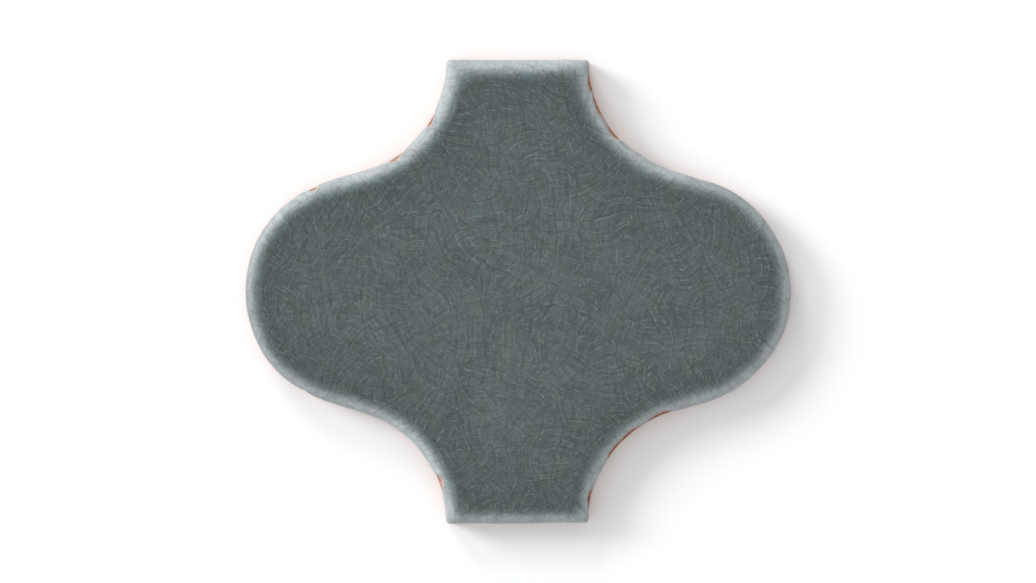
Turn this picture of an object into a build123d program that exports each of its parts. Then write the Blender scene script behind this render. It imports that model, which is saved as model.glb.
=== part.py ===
from build123d import *
from math import atan, cos, degrees, radians, sin, tan
import os

# Lantern (arabesque) tile: one piece of pressed red clay, cushioned round its glazed face, its
# sides drafted out to the foot, and its back grooved for the adhesive.
#
# X runs from lobe to lobe, Y from neck end to neck end, and +Z out of the glazed face. The origin
# is the centre of the back, which lies on Z = 0. Sizes are in millimetres and angles in degrees.

# Outline, where the tile is largest
tile_width = 175.0
tile_height = 149.0
neck_width = 46.0
flank_straight = 13.3
neck_corner_radius = 1.2

# Thickness and sides
thickness = 9.5
side_draft = 4.0
foot_chamfer = 0.5

# Cushioned edge of the glazed face
cushion_width = 5.5
cushion_drop = 2.2

# Keying grooves across the back
groove_pitch = 12.0
groove_width = 6.0
groove_depth = 1.0
groove_wall_angle = 60.0
groove_end_margin = 5.0

# How far a cutter runs past what it cuts
overcut = 3.0

# A flank is an arc, a straight, and the same arc turned over. It leaves the neck's corner and
# meets the lobe's tip upright, and it looks the same turned half round about its middle, so a
# neighbour's lobe nests in it. Its run in X is tan(turn / 2) times the sum of its run in Y and
# its straight, which gives the turn, and the radius is what is left of the run in Y.
flank_run_x = (tile_width - neck_width) / 2
flank_run_y = tile_height / 2
flank_turn = degrees(2 * atan(flank_run_x / (flank_run_y + flank_straight)))
flank_radius = (flank_run_y - flank_straight * cos(radians(flank_turn))) / (2 * sin(radians(flank_turn)))
neck_corner = Vector(neck_width / 2, tile_height / 2)

# The cushion starts on the drafted side, at this height and this far in from the outline
arris_height = thickness - cushion_drop
arris_inset = (arris_height - foot_chamfer) * tan(radians(side_draft))

# Grooves lie in pairs about a middle land, as many as the height holds
groove_reach = tile_height / 2 - groove_end_margin - groove_width / 2
groove_rows = 2 * int(groove_reach / groove_pitch + 0.5)


def draw_flanks():
    """Right-hand edge of the outline, from the lower neck corner round the lobe to the upper one."""
    lower_neck = JernArc((neck_corner.X, -neck_corner.Y), (0, 1), flank_radius, -flank_turn)
    lower_flank = Line(lower_neck @ 1, lower_neck @ 1 + flank_straight * (lower_neck % 1))
    lobe = JernArc(lower_flank @ 1, lower_flank % 1, flank_radius, 2 * flank_turn)
    upper_flank = Line(lobe @ 1, lobe @ 1 + flank_straight * (lobe % 1))
    JernArc(upper_flank @ 1, upper_flank % 1, flank_radius, -flank_turn)


def draw_cushion_waste():
    """What the cushion takes off, seen along the edge, with X inward from the outline and Y up."""
    cushion_end = arris_inset + cushion_width
    crown = EllipticalCenterArc((cushion_end, arris_height), cushion_width, cushion_drop, 90, arc_size=90)
    Polyline(
        crown @ 1,
        (-overcut, arris_height),
        (-overcut, thickness + overcut),
        (cushion_end, thickness + overcut),
        crown @ 0,
    )


# Routes of the cushion's cutter, round the right-hand lobe and along the upper neck end. Both run
# straight on past the neck corners, so that the two cuts meet there in a mitre.
with BuildLine() as lobe_route:
    Line((neck_corner.X, -neck_corner.Y - overcut), (neck_corner.X, -neck_corner.Y))
    draw_flanks()
    Line((neck_corner.X, neck_corner.Y), (neck_corner.X, neck_corner.Y + overcut))

with BuildLine() as neck_route:
    Line((neck_corner.X + overcut, neck_corner.Y), (-neck_corner.X - overcut, neck_corner.Y))

with BuildPart() as cushion_waste:
    for route in (lobe_route.wire(), neck_route.wire()):
        inward = (route % 0).rotate(Axis.Z, 90)
        with BuildSketch(Plane(origin=route @ 0, x_dir=inward, z_dir=route % 0)):
            with BuildLine():
                draw_cushion_waste()
            make_face()
        sweep(path=route)

with BuildPart() as tile:
    # Body: drafted inwards above its widest line, and chamfered below it
    with BuildSketch(Plane.XY.offset(foot_chamfer)) as outline:
        with BuildLine():
            draw_flanks()
            mirror(about=Plane.YZ)
            Line((-neck_corner.X, neck_corner.Y), (neck_corner.X, neck_corner.Y))
            Line((-neck_corner.X, -neck_corner.Y), (neck_corner.X, -neck_corner.Y))
        make_face()
        corner_rows = vertices().group_by(Axis.Y)
        fillet(corner_rows[0] + corner_rows[-1], radius=neck_corner_radius)
    extrude(amount=thickness - foot_chamfer, taper=side_draft)
    extrude(outline.sketch, amount=-foot_chamfer, taper=45)

    # Cushion: the same cuts, turned half round, do the other lobe and the other neck end
    add(cushion_waste.part, mode=Mode.SUBTRACT)
    add(cushion_waste.part, rotation=(0, 0, 180), mode=Mode.SUBTRACT)

    # Keying grooves, right across the back and wider at their mouths
    with BuildSketch(Plane.YZ):
        with GridLocations(groove_pitch, 0, groove_rows, 1):
            Trapezoid(groove_width, groove_depth, groove_wall_angle, align=(Align.CENTER, Align.MIN))
    extrude(amount=tile_width, both=True, mode=Mode.SUBTRACT)

tile.part.label = "tile"
os.makedirs("parts", exist_ok=True)
export_step(tile.part, "parts/tile.step")

print(f"flank turn {flank_turn:.2f} degrees, radius {flank_radius:.2f} mm, {groove_rows} grooves")
print(f"volume {tile.part.volume:.0f} cubic mm")
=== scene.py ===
from functools import partial

import bpy
import numpy as np
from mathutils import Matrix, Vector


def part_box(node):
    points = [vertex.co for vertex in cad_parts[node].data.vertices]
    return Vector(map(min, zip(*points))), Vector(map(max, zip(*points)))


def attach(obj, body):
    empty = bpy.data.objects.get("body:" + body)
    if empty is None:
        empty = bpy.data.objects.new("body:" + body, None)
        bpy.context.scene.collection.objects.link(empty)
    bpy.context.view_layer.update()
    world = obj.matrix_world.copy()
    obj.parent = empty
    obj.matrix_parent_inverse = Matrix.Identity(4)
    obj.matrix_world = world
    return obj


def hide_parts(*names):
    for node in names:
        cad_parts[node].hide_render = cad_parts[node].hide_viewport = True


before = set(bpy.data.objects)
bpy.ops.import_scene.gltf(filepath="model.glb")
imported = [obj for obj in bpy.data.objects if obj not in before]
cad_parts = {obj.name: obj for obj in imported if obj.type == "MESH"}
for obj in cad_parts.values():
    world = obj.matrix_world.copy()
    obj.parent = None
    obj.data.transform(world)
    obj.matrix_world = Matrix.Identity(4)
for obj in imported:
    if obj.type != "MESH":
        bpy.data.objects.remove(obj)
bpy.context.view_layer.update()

# The clay body. Red earthenware, pressed flat, cut out with a cutter whose walls lean outwards,
# and drawn over a comb for the grooves in its back. The face edge was rounded while still damp.
mm = 0.001
half_width, half_height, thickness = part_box("tile")[1]
neck_half_width = 23 * mm
flank_straight = 13.3 * mm
neck_corner_radius = 1.2 * mm
side_draft = np.radians(4)
foot_chamfer = 0.5 * mm
cushion_width = 5.5 * mm
arris_height = thickness - 2.2 * mm
glaze_depth = 0.5 * mm
clay_face_height = thickness - glaze_depth
groove_pitch = 12 * mm
groove_half_width = 3 * mm
groove_depth = 1 * mm
groove_wall_slope = np.tan(np.radians(60))
groove_count = 12
mesh_step = 0.65 * mm

# The flank is an arc, a straight and the same arc turned over, upright at both of its ends
flank_run = half_width - neck_half_width
flank_turn = 2 * np.arctan(flank_run / (half_height + flank_straight))
flank_radius = (half_height - flank_straight * np.cos(flank_turn)) / (2 * np.sin(flank_turn))
arris_inset = (arris_height - foot_chamfer) * np.tan(side_draft)


def outline_point(place, inset, corner):
    """Point of the outline's upper right quarter, moved in by inset, its neck corner rounded.

    place runs from 0 at the middle of the neck's end to 5 at the lobe's tip, with one unit each for
    half the end, the corner, the neck's arc, the flank's straight and half the lobe. An inset adds
    to the radius of the neck's arc and takes from the lobe's, and both keep their centres.
    """
    part = np.clip(np.floor(place), 0, 4).astype(int)
    share = place - part
    neck_centre_x = neck_half_width + flank_radius
    neck_radius = flank_radius + inset
    lobe_radius = flank_radius - inset
    lobe_centre_x = half_width - flank_radius
    reach = inset + corner
    corner_turn = np.arcsin(reach / (flank_radius + reach))
    corner_x = neck_centre_x - (flank_radius + reach) * np.cos(corner_turn)
    corner_y = half_height - reach
    corner_angle = np.pi / 2 - share * (np.pi / 2 - corner_turn)
    neck_angle = corner_turn + share * (flank_turn - corner_turn)
    lobe_angle = flank_turn * (1 - share)
    run = share * flank_straight
    x = np.choose(part, [
        share * corner_x,
        corner_x + corner * np.cos(corner_angle),
        neck_centre_x - neck_radius * np.cos(neck_angle),
        neck_centre_x - neck_radius * np.cos(flank_turn) + run * np.sin(flank_turn),
        lobe_centre_x + lobe_radius * np.cos(lobe_angle),
    ])
    y = np.choose(part, [
        half_height - inset,
        corner_y + corner * np.sin(corner_angle),
        half_height - neck_radius * np.sin(neck_angle),
        half_height - neck_radius * np.sin(flank_turn) - run * np.cos(flank_turn),
        lobe_radius * np.sin(lobe_angle),
    ])
    return x, y


def places_along(step):
    """Places from the neck's corner to the lobe's tip, about a step apart.

    Each of the four parts is split evenly, into as many cells as its length holds steps, but never
    into fewer than six.
    """
    lengths = [neck_corner_radius, flank_radius * flank_turn, flank_straight, flank_radius * flank_turn]
    fewest_cells = 6
    places = []
    for part, length in enumerate(lengths, 1):
        cells = max(fewest_cells, round(length / step))
        places.append(part + np.arange(cells) / cells)
    return np.append(np.concatenate(places), 5.0)


def go_round(places, end_cells):
    """Places and signs all the way round, from the lower left neck corner and counter-clockwise.

    The signs turn the upper right quarter over to the others. Each quarter is run through up or
    down its places, and leaves out the station that it shares with the one before.
    """
    half_end = np.linspace(0, 1, end_cells // 2 + 1)
    runs = [
        (half_end[::-1], -1, -1),
        (half_end[1:], 1, -1),
        (places[1:], 1, -1),
        (places[::-1][1:], 1, 1),
        (half_end[::-1][1:], 1, 1),
        (half_end[1:], -1, 1),
        (places[1:], -1, 1),
        (places[::-1][1:-1], -1, -1),
    ]
    place = np.concatenate([run for run, _, _ in runs])
    sign_x = np.concatenate([np.full(len(run), sign) for run, sign, _ in runs])
    sign_y = np.concatenate([np.full(len(run), sign) for run, _, sign in runs])
    return place, sign_x, sign_y


def ring(path, inset, corner):
    """Closed line of x and y at an inset, which may be one number or one for each station.

    It is the quarter's point at each station's place, times that station's signs.
    """
    place, sign_x, sign_y = path
    x, y = outline_point(place, inset + 0 * place, corner)
    return sign_x * x, sign_y * y


def ripple(x, y, shortest, longest, seed):
    """Smooth unevenness, mostly between -1 and 1: the sum of 24 plane waves over the root of 48.

    The waves have random headings and phases, and lengths spread evenly in their logarithm.
    """
    waves = 24
    rng = np.random.default_rng(seed)
    heading = rng.uniform(0, 2 * np.pi, waves)
    phase = rng.uniform(0, 2 * np.pi, waves)
    length = np.exp(rng.uniform(np.log(shortest), np.log(longest), waves))
    total = 0 * x
    for h, p, w in zip(heading, phase, length):
        total = total + np.cos((x * np.cos(h) + y * np.sin(h)) * 2 * np.pi / w + p)
    return total / np.sqrt(2 * waves)


def body_section(distance):
    """Inset and height of the clay's section, by the distance along it from the arris.

    Distances below 0 go in over the cushion, a quarter of an ellipse, and on across the flat face.
    Distances above 0 go down the leaning side.
    """
    cushion_points = 120
    turn = np.linspace(0, np.pi / 2, cushion_points)
    cushion_inset = arris_inset + cushion_width * (1 - np.cos(turn))
    cushion_height = arris_height + (clay_face_height - arris_height) * np.sin(turn)
    steps = np.hypot(np.diff(cushion_inset), np.diff(cushion_height))
    along = np.concatenate([[0], np.cumsum(steps)])
    inward = np.clip(-distance, 0, None)
    inset = np.interp(inward, along, cushion_inset) + np.clip(inward - along[-1], 0, None)
    height = np.interp(inward, along, cushion_height)
    down = np.clip(distance, 0, None)
    return inset - down * np.sin(side_draft), height - down * np.cos(side_draft)


def off_true(x, y, z):
    """Height that handling and drying added, in proportion to z, so that the foot stays flat.

    It is a long swell, shallow dents, and a crown that falls away with the squares of x and y.
    """
    swell = 0.10 * mm * ripple(x, y, shortest=38 * mm, longest=90 * mm, seed=3)
    dents = 0.025 * mm * ripple(x, y, shortest=10 * mm, longest=26 * mm, seed=4)
    crown = 0.12 * mm * (1 - (x / half_width) ** 2 - (y / half_height) ** 2)
    return (swell + dents + crown) * np.clip(z / thickness, 0, 1)


def out_of_line(x, y):
    """Inset by which the cut strays from its line: a long wander, mostly inwards, and small nicks."""
    wander = 0.25 * mm * (0.8 + ripple(x, y, shortest=22 * mm, longest=70 * mm, seed=5))
    nicks = 0.05 * mm * ripple(x, y, shortest=5 * mm, longest=12 * mm, seed=6)
    return wander + nicks


def corner_rounding(inset):
    """Radius of the neck corner's line: it opens out by 0.55 of an inset over the cushion, and
    outside the outline it grows by as much as the line moves out."""
    return neck_corner_radius + 0.55 * np.clip(inset, 0, None) - np.clip(inset, None, 0)


def span(side_points, columns, rows):
    """Surface spanned between the four sides of a ring: across plus along, less the corners.

    Each inner point is the straight line between left and right, plus the straight line between
    bottom and top, less the flat sheet through the four corners.
    """
    bottom = side_points[: columns + 1][None, :]
    right = side_points[columns : columns + rows + 1][:, None]
    top = side_points[columns + rows : 2 * columns + rows + 1][::-1][None, :]
    left = np.concatenate([side_points[2 * columns + rows :], side_points[:1]])[::-1][:, None]
    u = np.linspace(0, 1, columns + 1)[None, :, None]
    v = np.linspace(0, 1, rows + 1)[:, None, None]
    corners = (1 - v) * ((1 - u) * left[0] + u * right[0]) + v * ((1 - u) * left[-1] + u * right[-1])
    return (1 - u) * left + u * right + (1 - v) * bottom + v * top - corners


def closed_mesh(name, rings, columns, first_lid, last_lid, extras):
    """Mesh of rings laid one after another, with a lid spanned over the first and over the last.

    A ring's rows hold x, y and z, and then a value for each of the extras, which the mesh keeps as
    attributes. Between two rings, each two neighbouring stations make a quad. A lid is a function
    that puts the height, and any extra that isn't spanned, into the rows inside its ring.
    """
    layers, stations, values = rings.shape
    rows = stations // 2 - columns
    points = [rings.reshape(-1, values)]
    number = np.arange(layers * stations).reshape(layers, stations)
    after = np.roll(number, -1, axis=1)
    quads = [np.stack([number[:-1], number[1:], after[1:], after[:-1]], -1).reshape(-1, 4)]
    made = layers * stations
    for layer, lid, upward in ((0, first_lid, True), (layers - 1, last_lid, False)):
        inner = span(rings[layer], columns, rows)[1:-1, 1:-1].reshape(-1, values)
        lid(inner, np.repeat(np.arange(1, rows), columns - 1))
        edge = number[layer]
        grid = np.zeros((rows + 1, columns + 1), int)
        grid[0] = edge[: columns + 1]
        grid[:, -1] = edge[columns : columns + rows + 1]
        grid[-1] = edge[columns + rows : 2 * columns + rows + 1][::-1]
        grid[:, 0] = np.append(edge[2 * columns + rows :], edge[0])[::-1]
        grid[1:-1, 1:-1] = made + np.arange(len(inner)).reshape(rows - 1, columns - 1)
        made += len(inner)
        points.append(inner)
        cell = np.stack([grid[:-1, :-1], grid[:-1, 1:], grid[1:, 1:], grid[1:, :-1]], -1).reshape(-1, 4)
        quads.append(cell if upward else cell[:, ::-1])
    points = np.concatenate(points)
    mesh = bpy.data.meshes.new(name)
    mesh.from_pydata(points[:, :3], [], np.concatenate(quads))
    mesh.shade_smooth()
    for index, extra in enumerate(extras, 3):
        mesh.attributes.new(extra, "FLOAT", "POINT").data.foreach_set("value", points[:, index])
    piece = bpy.data.objects.new(name, mesh)
    bpy.context.scene.collection.objects.link(piece)
    return piece


def groove_height(y):
    """Height of the back: 0 on a land, and groove_depth in a groove, with sloping walls between.

    The distance in from a groove's edge, times the walls' slope, is cut off at both heights.
    """
    nearest = (np.abs(y) + groove_pitch / 2) % groove_pitch - groove_pitch / 2
    off_middle = np.abs(np.abs(nearest) - groove_pitch / 2)
    rise = np.clip((groove_half_width - off_middle) * groove_wall_slope, 0, groove_depth)
    return np.where(np.abs(y) < groove_pitch * groove_count / 2, rise, 0)


# Stations round the clay include the edges of the grooves, so that their walls come out crisp, and
# leave out the even ones that would crowd them
groove_middles = groove_pitch * (np.arange(groove_count // 2) + 0.5)
groove_floor_half = groove_half_width - groove_depth / groove_wall_slope
edge_heights = np.concatenate([
    groove_middles + side * half
    for side in (-1, 1)
    for half in (groove_half_width, groove_floor_half)
])
fine_places = places_along(0.02 * mm)
fine_heights = outline_point(fine_places, 0 * fine_places, neck_corner_radius)[1]
edge_places = np.interp(edge_heights, fine_heights[::-1], fine_places[::-1])
even_places = places_along(mesh_step)
too_close = 0.006
gap_to_edge = np.abs(even_places[:, None] - edge_places).min(axis=1)
kept_places = even_places[(gap_to_edge > too_close) | (even_places == np.round(even_places))]
clay_columns = 60
clay_path = go_round(np.unique(np.concatenate([kept_places, edge_places])), clay_columns)
outline_x, outline_y = ring(clay_path, 0.0, neck_corner_radius)
groove_here = groove_height(outline_y)


def clay_ring(distance):
    """One line round the clay, at a distance along its section.

    To the section's inset it adds the cut's wander and, down the side, the cutter's drag marks.
    """
    inset, height = body_section(distance + 0 * outline_x)
    drag = 0.03 * mm * ripple(outline_x, outline_y, shortest=1.8 * mm, longest=4 * mm, seed=8)
    marked_inset = inset + out_of_line(outline_x, outline_y) + drag * np.clip(distance / mm, 0, 1)
    x, y = ring(clay_path, marked_inset, corner_rounding(np.max(inset)))
    return np.stack([x, y, height + off_true(x, y, height)], -1)


def clay_foot_ring(height_share):
    """One line round the foot: share 0 where the side ends and 1 on the back, straight between.

    The side ends at the chamfer, or just above a groove where that is higher. Below the chamfer's
    height the inset is what is left of it, and above it the side's lean.
    """
    least_step = 0.1 * mm
    side_end = np.maximum(foot_chamfer, groove_here + least_step)
    height = side_end + height_share * (groove_here - side_end)
    chamfered = foot_chamfer - height
    leaning = (height - foot_chamfer) * np.tan(side_draft)
    inset = np.where(height < foot_chamfer, chamfered, leaning)
    x, y = ring(clay_path, inset + out_of_line(outline_x, outline_y), neck_corner_radius)
    return np.stack([x, y, height], -1)


def clay_face(inner, row):
    """Puts in the height of the clay's face: flat, but for what handling added."""
    inner[:, 2] = clay_face_height + off_true(inner[:, 0], inner[:, 1], clay_face_height)


def clay_back(inner, row):
    """Puts in the height of the back: a row runs along one groove, or along one land."""
    right_side = groove_here[clay_columns:]
    inner[:, 2] = right_side[row]


# Lines round the clay: in over the face, where they crowd towards the arris, then down the side to
# just above the grooves, and last round the foot
section_reach = 8 * mm
side_bottom = 1.3 * mm
face_lines = 22
side_lines = 9
arris_crowding = 1.8
side_length = (arris_height - side_bottom) / np.cos(side_draft)
face_distances = -section_reach * np.linspace(1, 0, face_lines) ** arris_crowding
side_distances = np.linspace(0, side_length, side_lines + 1)[1:]
clay_rings = np.stack(
    [clay_ring(distance) for distance in (*face_distances, *side_distances)]
    + [clay_foot_ring(share) for share in (0, 0.5, 1)]
)
clay_body = closed_mesh("clay_body", clay_rings, clay_columns, clay_face, clay_back, [])
clay_body.data.set_sharp_from_angle(angle=np.radians(35))


def linear(hex_colour):
    """Linear colour, with alpha 1, of an sRGB hex colour."""
    srgb = np.array([int(hex_colour[i : i + 2], 16) / 255 for i in (1, 3, 5)])
    return (*np.where(srgb <= 0.04045, srgb / 12.92, ((srgb + 0.055) / 1.055) ** 2.4), 1.0)


def add_node(tree, kind, inputs, stops=(), **settings):
    """Adds a shader node, applies its settings, and returns its outputs.

    Inputs, by name or number, take a value or are linked to a socket. A colour ramp's stops are
    pairs of a place and a hex colour.
    """
    node = tree.nodes.new("ShaderNode" + kind)
    for name, value in settings.items():
        setattr(node, name, value)
    for name, value in inputs.items():
        if isinstance(value, bpy.types.NodeSocket):
            tree.links.new(value, node.inputs[name])
        else:
            node.inputs[name].default_value = value
    for _ in stops[2:]:
        node.color_ramp.elements.new(0.5)
    for number, (place, colour) in enumerate(stops):
        node.color_ramp.elements[number].position = place
        node.color_ramp.elements[number].color = linear(colour)
    return node.outputs


def new_material(name):
    """Empty material, and the function that adds nodes to it."""
    material = bpy.data.materials.new(name)
    material.use_nodes = True
    material.node_tree.nodes.clear()
    return material, partial(add_node, material.node_tree)


def red_earthenware():
    """Bare red earthenware, pressed and fired: dry and matt, with patches of pale dust and of
    darker burnt clay, grains of sand, small open pits darkened with painted shade, and the
    cutter's drag along the sides."""
    material, add = new_material("bare_red_earthenware")
    place = add("TexCoord", {})["Object"]
    patches = add("TexNoise", {"Vector": place, "Scale": 1 / (11 * mm), "Detail": 4.0})["Fac"]
    reds = [(0.32, "#8A5341"), (0.5, "#9E624C"), (0.68, "#B17660")]
    colour = add("ValToRGB", {"Fac": patches}, reds)["Color"]

    # Dust, burnt clay, sand and pits: the size and detail of a noise, the values of it between
    # which each comes in, and its colour. The pits' dark colour is painted shade inside them. The
    # sand is drawn at 0.5 mm, coarser than most of it is.
    marks = {
        "dust": (4.5 * mm, 5.0, 0.52, 0.72, "#B98D79"),
        "burnt": (2.6 * mm, 4.0, 0.55, 0.70, "#6C3A2A"),
        "sand": (0.5 * mm, 2.0, 0.60, 0.68, "#C69C86"),
        "shaded_pits": (0.8 * mm, 1.0, 0.36, 0.30, "#6E3F2F"),
    }
    noises, shares = {}, {}
    for mark, (size, detail, none, full, mark_colour) in marks.items():
        noises[mark] = add("TexNoise", {"Vector": place, "Scale": 1 / size, "Detail": detail})["Fac"]
        reach = {"Value": noises[mark], "From Min": none, "From Max": full}
        shares[mark] = add("MapRange", reach, interpolation_type="SMOOTHSTEP")[0]
        colour = add("Mix", {0: shares[mark], 6: colour, 7: linear(mark_colour)}, data_type="RGBA")[2]

    drawn_out = add("Mapping", {"Vector": place, "Scale": (0.15, 0.15, 1.6)})[0]
    drag = add("TexNoise", {"Vector": drawn_out, "Scale": 1 / (0.9 * mm), "Detail": 3.0})["Fac"]
    raised = add("Math", {0: noises["sand"], 1: shares["shaded_pits"]}, operation="SUBTRACT")[0]
    relief = add("Math", {0: drag, 1: 0.8, 2: raised}, operation="MULTIPLY_ADD")[0]
    normal = add("Bump", {"Strength": 0.7, "Distance": 0.10 * mm, "Height": relief})[0]
    shader = add("BsdfPrincipled", {"Base Color": colour, "Roughness": 0.9, "Normal": normal})[0]
    add("OutputMaterial", {"Surface": shader})
    return material


clay_body.data.materials.append(red_earthenware())
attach(clay_body, "root")
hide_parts("tile")


# The glaze. A grey-green glass, poured over the face and fired: thick and dark where it lay flat,
# thin and pale where it drew back from the rounded edge, and it ends in an uneven lip down the side.
edge_depth = 0.16 * mm
side_depth = 0.3 * mm
bead_depth = 0.16 * mm
lip_width = 0.8 * mm
glaze_gap = 0.01 * mm
glaze_columns = 84
glaze_path = go_round(places_along(mesh_step), glaze_columns)
glaze_x, glaze_y = ring(glaze_path, 0.0, neck_corner_radius)

# What each point of the glaze's mesh holds besides its place: where it would lie if the skin were
# unrolled flat, its share of full colour, the share of painted shade that greys its pale edge, and
# its way to the hem
skin_values = ["laid_x", "laid_y", "pooled", "painted_edge_shade", "to_hem"]

# Where the glaze stopped short of the side, so that clay shows from above, and how far along that
# reaches, and where a drip ran down, with its width and length, all in millimetres
bare_spots = [
    (23.5, 68, 5), (26, 60, 6), (30.5, 52, 5.5), (-29, 56, 4.5), (-40, 44.5, 5), (-66, 34, 2.6),
    (46, -41, 7.5), (36, -46.5, 7), (31, -52, 6), (23.5, -67, 5), (-26, -62, 4), (-70, -34, 4),
]
drips = [
    (-16, -74.5, 2.6, 2.4), (62, -36, 3.0, 2.6), (-87, 14, 2.4, 2.2),
    (-54, 38, 2.2, 2.0), (85, 18, 2.6, 2.4),
]

# Stretches of the edge whose pale glaze is greyed as painted shade, where the edge is to come out
# darker than the lamps leave it, and how far that reaches, in millimetres, with the share by which
# it greys the pale edge
edge_shade_stretches = [(-87, -2, 34, 0.52), (-30, 58, 20, 0.24), (75, 28, 24, 0.36), (0, -74, 26, 0.14)]


def hem_distance(x, y):
    """Distance down the side at which the glaze ends.

    It is 3 mm and two sizes of wave, kept between 1 and 5 mm, drawn to above the arris near each
    bare spot by a bell curve, let down by each drip's flat-topped bell, and nicked finely all along.
    """
    waves = 1.2 * ripple(x, y, shortest=14 * mm, longest=55 * mm, seed=21)
    waves = waves + 0.3 * ripple(x, y, shortest=3 * mm, longest=9 * mm, seed=22)
    nicks = 0.22 * mm * ripple(x, y, shortest=1.3 * mm, longest=3.2 * mm, seed=23)
    distance = np.clip(3.0 + waves, 1.0, 5.0) * mm
    drawn_up = -1.3 * mm
    highest = -1.1 * mm
    for spot_x, spot_y, reach in bare_spots:
        near = np.exp(-((x - spot_x * mm) ** 2 + (y - spot_y * mm) ** 2) / (reach * mm) ** 2)
        distance = distance + near * (drawn_up - distance)
    for drip_x, drip_y, width, length in drips:
        off = ((x - drip_x * mm) ** 2 + (y - drip_y * mm) ** 2) / (width * mm) ** 2
        distance = distance + length * mm / (1 + off**2)
    return np.clip(distance + nicks, highest, None)


hem = hem_distance(glaze_x, glaze_y)


def glaze_thickness(distance):
    """Thickness of the glaze, by the distance along the section.

    It eases from the thin arris to its full depth on the face, and straight to the side's. It has a
    bell-shaped bead just short of the hem, which fades out where the hem is drawn up over the
    arris, and it rounds off to nothing at the hem as a quarter of a circle does.
    """
    face_easing, side_easing = 6.5 * mm, 1.5 * mm
    bead_middle, bead_reach = 0.9 * mm, 0.6 * mm
    inward = np.clip(-distance / face_easing, 0, 1)
    rise = inward * inward * (3 - 2 * inward)
    down = np.clip(distance / side_easing, 0, 1)
    flat = edge_depth + (glaze_depth - edge_depth) * rise + (side_depth - edge_depth) * down
    to_hem = hem - distance
    bell = np.exp(-(((to_hem - bead_middle) / bead_reach) ** 2))
    bead = bead_depth * bell * np.clip(1 + hem / mm, 0, 1)
    front = 1 - np.clip(to_hem / lip_width, 0, 1)
    return (flat + bead) * np.sqrt(np.clip(1 - front**2, 0, 1))


def pooled(distance, x, y):
    """Share of full colour: 0 where the glaze is thin over the edge, 1 where it lies deep.

    It climbs evenly with the distance in from the arris, over a band that is wider at the top than
    at the bottom and narrow at the lobes' tips, as the glaze drained while the tile stood tilted.
    On the upper flanks the climb starts further out towards the right, and at the top further in.
    """
    to_right, to_top = x / half_width, y / half_height
    drained = 0.6 * to_top + 0.4 * to_right - 0.8 * to_right**4
    uneven = 0.4 * ripple(x, y, shortest=30 * mm, longest=90 * mm, seed=25)
    uneven = uneven + 0.12 * ripple(x, y, shortest=5 * mm, longest=14 * mm, seed=26)
    start = np.clip(to_top, 0, 1) * (1.4 * to_right**2 + 1.1 * to_right - 0.5)
    band_width = (6.4 + drained + uneven) * mm
    return np.clip((start * mm - distance) / band_width, 0, 1)


def painted_edge_shade(x, y):
    """Share of painted shade that greys the pale edge: the sum of a bell curve for each stretch."""
    total = 0 * x
    for middle_x, middle_y, reach, share in edge_shade_stretches:
        off = ((x - middle_x * mm) ** 2 + (y - middle_y * mm) ** 2) / (reach * mm) ** 2
        total = total + share * np.exp(-off)
    return total


def glaze_ring(distance, outside):
    """One line round the glaze, on its outer skin or on its underside, a hair above the clay.

    The skin is the section moved out square to itself by the thickness. The laid place is where
    the skin would lie if it were unrolled flat, so that the crackle isn't stretched at the edge.
    """
    small_step = 0.01 * mm
    inset, height = body_section(distance)
    further_inset, further_height = body_section(distance + small_step)
    slope_in, slope_down = further_inset - inset, further_height - height
    length = np.hypot(slope_in, slope_down)
    cover = glaze_thickness(distance) if outside else glaze_gap
    lift_out, lift_up = -slope_down / length * cover, -slope_in / length * cover
    stray = out_of_line(glaze_x, glaze_y)
    x, y = ring(glaze_path, inset - lift_out + stray, corner_rounding(inset))
    z = height + lift_up + off_true(x, y, height)
    laid_inset = arris_inset + stray - distance
    laid_x, laid_y = ring(glaze_path, laid_inset, corner_rounding(laid_inset))
    colour = [pooled(distance, x, y), painted_edge_shade(x, y)]
    return np.stack([x, y, z, laid_x, laid_y, *colour, hem - distance], -1)


# Lines round the glaze: out over its skin, where they crowd towards the rounded lip at the hem,
# and back along its underside
skin_lines = 27
under_lines = 9
hem_crowding = 1.5
skin_shares = 1 - np.linspace(1, 0, skin_lines) ** hem_crowding
under_shares = np.linspace(1, 0, under_lines)
glaze_rings = np.stack(
    [glaze_ring(-section_reach + share * (hem + section_reach), True) for share in skin_shares]
    + [glaze_ring(-section_reach + share * (hem + section_reach), False) for share in under_shares]
)


def glaze_face(inner, row):
    """Puts in the height of the glazed face and its share of full colour.

    The face settled a little unevenly over the clay. The glaze ran off its middle, so the colour
    falls from full, at the foot of the cushion, towards 0.88 with the distance inland. Every eighth
    station of the rim is near enough to measure that distance from.
    """
    x, y = inner[:, 0], inner[:, 1]
    rim_step = 8
    rim = glaze_rings[0, ::rim_step]
    inland = np.hypot(x[:, None] - rim[:, 0], y[:, None] - rim[:, 1]).min(axis=1)
    settle = 0.012 * mm * ripple(x, y, shortest=5 * mm, longest=13 * mm, seed=31)
    settle = settle * np.clip(inland / (6 * mm), 0, 1)
    pooled_column = 3 + skin_values.index("pooled")
    inner[:, 2] = clay_face_height + glaze_depth + off_true(x, y, clay_face_height) + settle
    inner[:, pooled_column] = 0.88 + 0.12 * np.exp(-inland / (7 * mm))


def glaze_underside(inner, row):
    """Puts in the height of the glaze's underside, a hair above the clay."""
    clay_face(inner, row)
    inner[:, 2] += glaze_gap


glaze_coat = closed_mesh(
    "glaze_coat", glaze_rings, glaze_columns, glaze_face, glaze_underside, skin_values
)


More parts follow.
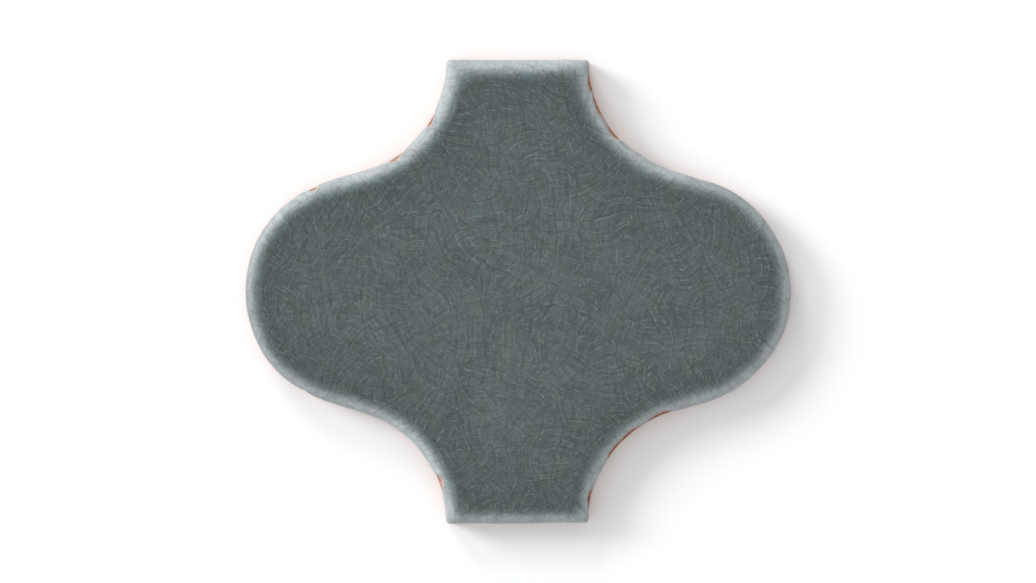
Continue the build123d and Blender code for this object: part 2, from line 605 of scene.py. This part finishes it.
def crackle(add, laid):
    """The glaze's pale cracks and its stained ones, each 1 in the middle of a line, and a colour
    for each shard between the pale ones.

    Long cracks, stained here and there, part the glaze into regions. Each region then cracks its
    own way, in bent rows with rungs between them: a pale net, with rows 1.7 mm apart, and over it a
    wider, stained one. The lines, really hair-fine, are drawn about 0.4 mm wide so that they show.
    """
    pale_width, long_width, stained_width = 0.34 * mm, 0.36 * mm, 0.42 * mm
    softness = 1 / 6

    def bent(place, size, amount):
        """A place moved by up to the amount, along curves of the size."""
        bend = add("TexNoise", {"Vector": laid, "Scale": 1 / size, "Detail": 1.0})["Color"]
        moved = {0: bend, 1: (amount, amount, 0), 2: place}
        return add("VectorMath", moved, operation="MULTIPLY_ADD")[0]

    def drawn(edge, cell, width):
        """A crack as wide as said, 1 in its middle, from the distance to the edge of a cell."""
        reach = {"Value": edge, "From Max": width / cell / 2, "To Min": 1.0, "To Max": 0.0}
        return add("MapRange", reach)[0]

    def cracked(run, start, cell, width):
        """Cracks across a run of places, about a cell apart, and a colour for each piece between."""
        moved = add("Math", {0: run, 1: start}, operation="ADD")[0]
        pieces = {"W": moved, "Scale": 1 / cell}
        edge = add("TexVoronoi", pieces, voronoi_dimensions="1D", feature="DISTANCE_TO_EDGE")["Distance"]
        return drawn(edge, cell, width), add("TexVoronoi", pieces, voronoi_dimensions="1D")["Color"]

    def here_and_there(lines, size, share, weight=1.0):
        """Lines left, at the weight, in about a share of the glaze, in soft patches of the size."""
        patch = add("TexNoise", {"Vector": laid, "Scale": 1 / size})["Fac"]
        least = 1 - share
        reach = {"Value": patch, "From Min": least, "From Max": least + softness, "To Max": weight}
        kept = add("MapRange", reach)[0]
        return add("Math", {0: lines, 1: kept}, operation="MULTIPLY")[0]

    # The long cracks, and the regions between them
    region_size = 13 * mm
    wandering = bent(bent(laid, 26 * mm, 15 * mm), 7 * mm, 2.8 * mm)
    regions = {"Vector": wandering, "Scale": 1 / region_size}
    edge = add("TexVoronoi", regions, voronoi_dimensions="2D", feature="DISTANCE_TO_EDGE")["Distance"]
    long_cracks = drawn(edge, region_size, long_width)
    region = add("TexVoronoi", regions, voronoi_dimensions="2D")["Color"]
    region_turn, region_start, region_other = add("SeparateXYZ", {"Vector": region})

    # Rows and rungs, in each region's own direction
    angle = add("Math", {0: region_turn, 1: np.pi}, operation="MULTIPLY")[0]
    curled = {"Vector": bent(wandering, 3.4 * mm, 1.4 * mm), "Angle": angle}
    turned = add("VectorRotate", curled, rotation_type="Z_AXIS")[0]
    across, along, _ = add("SeparateXYZ", {"Vector": turned})
    rows, row = cracked(along, region_start, 1.7 * mm, pale_width)
    row_start = add("SeparateXYZ", {"Vector": row})[0]
    rungs, shard = cracked(across, row_start, 2.6 * mm, pale_width)
    dark_rows, _ = cracked(along, region_other, 2.5 * mm, stained_width)
    dark_rungs, _ = cracked(across, region_start, 2.3 * mm, stained_width)

    # The pale net comes and goes in small patches, and fades a little over wide ones
    row_cracks = here_and_there(rows, 2.2 * mm, 0.57)
    rung_cracks = here_and_there(rungs, 2.4 * mm, 0.58, 0.9)
    fine_cracks = add("Math", {0: row_cracks, 1: rung_cracks}, operation="MAXIMUM")[0]
    fading_noise = add("TexNoise", {"Vector": laid, "Scale": 1 / (15 * mm)})["Fac"]
    reach = {"Value": fading_noise, "From Min": 0.5, "From Max": 0.5 + softness, "To Min": 0.75}
    fading = add("MapRange", reach)[0]
    pale_cracks = add("Math", {0: fine_cracks, 1: fading}, operation="MULTIPLY")[0]

    # The stained net comes and goes too, and the long cracks are stained along stretches
    faint_dark_rungs = add("Math", {0: dark_rungs, 1: 0.9}, operation="MULTIPLY")[0]
    dark_net = add("Math", {0: dark_rows, 1: faint_dark_rungs}, operation="MAXIMUM")[0]
    stained_net = here_and_there(dark_net, 2.6 * mm, 0.68)
    stained_long_cracks = here_and_there(long_cracks, 14 * mm, 0.58)
    dark_cracks = add("Math", {0: stained_net, 1: stained_long_cracks}, operation="MAXIMUM")[0]
    return pale_cracks, dark_cracks, shard


def glass_colour(add, laid, pooled_share, edge_shade_share):
    """Colour of the glass by its depth, from the pale edge in to the grey-green field.

    The depth is the pooled share, clouded over the field. The pale edge is greyed by painted shade
    along some stretches, and the deep glass is tinted greener and bluer in patches.
    """
    by_depth = [
        (0.0, "#A4AAAC"), (0.13, "#A9AFB1"), (0.22, "#ACB2B4"), (0.31, "#A4ACAE"), (0.41, "#939D9F"),
        (0.51, "#7A8689"), (0.61, "#697577"), (0.70, "#5F6A6B"), (0.80, "#556061"), (1.0, "#4C5758"),
    ]
    cloud_noise = add("TexNoise", {"Vector": laid, "Scale": 1 / (16 * mm), "Detail": 3.0})["Fac"]
    cloud = add("Math", {0: cloud_noise, 1: 0.30, 2: 0.708}, operation="MULTIPLY_ADD")[0]
    depth = add("Math", {0: pooled_share, 1: cloud}, operation="MULTIPLY")[0]
    glass = add("ValToRGB", {"Fac": depth}, by_depth)["Color"]
    # Painted shade: along the shaded stretches, the thin pale edge is mixed towards the field's
    # grey-green
    thin = add("Math", {0: 1.0, 1: pooled_share}, operation="SUBTRACT")[0]
    edge_shade_amount = add("Math", {0: edge_shade_share, 1: thin}, operation="MULTIPLY")[0]
    shaded_glass = add("Mix", {0: edge_shade_amount, 6: glass, 7: linear("#556061")}, data_type="RGBA")[2]
    tint_noise = add("TexNoise", {"Vector": laid, "Scale": 1 / (9 * mm), "Detail": 3.0})["Fac"]
    tint = add("ValToRGB", {"Fac": tint_noise}, [(0.35, "#A2A596"), (0.65, "#9BA2AC")])["Color"]
    tint_share = add("Math", {0: pooled_share, 1: 0.55}, operation="MULTIPLY")[0]
    tinting = {0: tint_share, 6: shaded_glass, 7: tint}
    return add("Mix", tinting, data_type="RGBA", blend_type="OVERLAY")[2]


def crackle_glaze():
    """Grey-green earthenware glaze, poured and fired glossy: deep colour where it pooled, pale grey
    and duller where it is thin over the edge, and all through it the fine net of cracks that
    comes as it cools, whose pale lines and dark stained ones break up the gloss."""
    material, add = new_material("crackle_glaze_grey_green")
    laid_x, laid_y, pooled_share, edge_shade_share, to_hem = [
        add("Attribute", {}, attribute_name=value)["Fac"] for value in skin_values
    ]
    laid = add("CombineXYZ", {"X": laid_x, "Y": laid_y})[0]
    pale_cracks, dark_cracks, shard = crackle(add, laid)

    # The glass, speckled by its shards and by a fine grain
    glass = glass_colour(add, laid, pooled_share, edge_shade_share)
    grain_noise = add("TexNoise", {"Vector": laid, "Scale": 1 / (1.0 * mm)})["Fac"]
    grain = add("Mix", {0: 0.4, 2: grain_noise, 3: shard})[0]
    speckled = add("Mix", {0: 0.42, 6: glass, 7: grain}, data_type="RGBA", blend_type="OVERLAY")[2]

    # The cracks over it, faint on the pale edge, and the clay's brown burnt into the thin hem
    line_colour = add("ValToRGB", {"Fac": pooled_share}, [(0.1, "#98A2A3"), (0.6, "#A9B5B3")])["Color"]
    line_strength = add("MapRange", {"Value": pooled_share, "To Min": 0.10, "To Max": 0.40})[0]
    line_share = add("Math", {0: pale_cracks, 1: line_strength}, operation="MULTIPLY")[0]
    lined = add("Mix", {0: line_share, 6: speckled, 7: line_colour}, data_type="RGBA")[2]
    stain_strength = add("MapRange", {"Value": pooled_share, "To Min": 0.06, "To Max": 0.85})[0]
    stain_share = add("Math", {0: dark_cracks, 1: stain_strength}, operation="MULTIPLY")[0]
    stained = add("Mix", {0: stain_share, 6: lined, 7: linear("#37413F")}, data_type="RGBA")[2]
    reach = {"Value": to_hem, "From Max": 0.9 * mm, "To Min": 0.45, "To Max": 0.0}
    burnt_share = add("MapRange", reach)[0]
    colour = add("Mix", {0: burnt_share, 6: stained, 7: linear("#A5806A")}, data_type="RGBA")[2]

    # Glass over a faint orange-peel, notched by the cracks, and duller where it is thin
    peel_noise = add("TexNoise", {"Vector": laid, "Scale": 1 / (1.6 * mm)})["Fac"]
    notches = add("Math", {0: pale_cracks, 1: -0.8}, operation="MULTIPLY")[0]
    relief = add("Math", {0: peel_noise, 1: 0.2, 2: notches}, operation="MULTIPLY_ADD")[0]
    normal = add("Bump", {"Strength": 0.35, "Distance": 0.02 * mm, "Height": relief})[0]
    dull_noise = add("TexNoise", {"Vector": laid, "Scale": 1 / (5 * mm), "Detail": 3.0})["Fac"]
    dull = add("Math", {0: dull_noise, 1: 0.1, 2: 0.52}, operation="MULTIPLY_ADD")[0]
    roughness = add("Math", {0: pooled_share, 1: -0.38, 2: dull}, operation="MULTIPLY_ADD")[0]
    skin = {"Base Color": colour, "Roughness": roughness, "IOR": 1.5, "Normal": normal}
    add("OutputMaterial", {"Surface": add("BsdfPrincipled", skin)[0]})
    return material


glaze_coat.data.materials.append(crackle_glaze())
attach(glaze_coat, "root")
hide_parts("tile")


# The floor and the light. A pale matt table top, two soft lamps from the upper left, low enough
# for the tile's long soft shadow, a window's broad light from the left, and a white surround.
floor_half = 4.0
corners = [(x * floor_half, y * floor_half, 0) for x, y in ((-1, -1), (1, -1), (1, 1), (-1, 1))]
floor_mesh = bpy.data.meshes.new("floor")
floor_mesh.from_pydata(corners, [], [(0, 1, 2, 3)])
floor = bpy.data.objects.new("floor", floor_mesh)
bpy.context.scene.collection.objects.link(floor)


def pale_table_top():
    """Matt white table top: a diffuse white that keeps the tile's shadow, and glows by 0.07 where
    it is seen straight or in the glaze, so that the open floor comes out white."""
    material, add = new_material("pale_table_top")
    ray = add("LightPath", {})
    seen = add("Math", {0: ray["Is Camera Ray"], 1: ray["Is Glossy Ray"]}, operation="MAXIMUM")[0]
    glow_strength = add("Math", {0: seen, 1: 0.07}, operation="MULTIPLY")[0]
    glow = add("Emission", {"Color": linear("#FFFFFF"), "Strength": glow_strength})[0]
    matt = add("BsdfDiffuse", {"Color": linear("#FAFCFD")})[0]
    add("OutputMaterial", {"Surface": add("AddShader", {0: matt, 1: glow})[0]})
    return material


floor_mesh.materials.append(pale_table_top())

# Each light's share of the light on the floor, which come to about 1 together, and each lamp's
# elevation, its azimuth from +X, and how wide it is seen from the tile, in degrees. A lamp's
# strength is its share times pi, over the sine of its elevation.
surround_share = 0.59
lamps = [
    ("upper_lamp", 0.11, 20, 115, 22),
    ("left_lamp", 0.26, 20, 155, 24),
    ("left_window", 0.06, 40, 200, 70),
]
for name, share, elevation, azimuth, width in lamps:
    lamp = bpy.data.lights.new(name, "SUN")
    lamp.energy = share * np.pi / np.sin(np.radians(elevation))
    lamp.angle = np.radians(width)
    lamp_object = bpy.data.objects.new(name, lamp)
    lamp_object.rotation_euler = (0, np.radians(90 - elevation), np.radians(azimuth))
    bpy.context.scene.collection.objects.link(lamp_object)

surround = bpy.data.worlds.new("surround")
surround.use_nodes = True
surround.node_tree.nodes.clear()
add = partial(add_node, surround.node_tree)
seen = add("LightPath", {})["Is Camera Ray"]
strength = add("MapRange", {"Value": seen, "To Min": surround_share, "To Max": 1.0})[0]
white = add("Background", {"Color": linear("#FFFFFF"), "Strength": strength})[0]
add("OutputWorld", {"Surface": white})
bpy.context.scene.world = surround


# The camera looks straight down, as in the photograph, from far enough off to see no sides. The
# tile's height takes up four fifths of the frame's.
image_width, image_height = 1036, 583
tile_share = 0.80
camera = bpy.data.cameras.new("camera")
camera.lens = 100
camera.sensor_width = 36
frame_height_seen = 2 * half_height / tile_share
view_height = frame_height_seen * camera.lens / (camera.sensor_width * image_height / image_width)
camera_object = bpy.data.objects.new("camera", camera)
camera_object.location = (0, 0, thickness + view_height)
bpy.context.scene.collection.objects.link(camera_object)
bpy.context.scene.camera = camera_object
bpy.context.scene.view_settings.view_transform = "Standard"
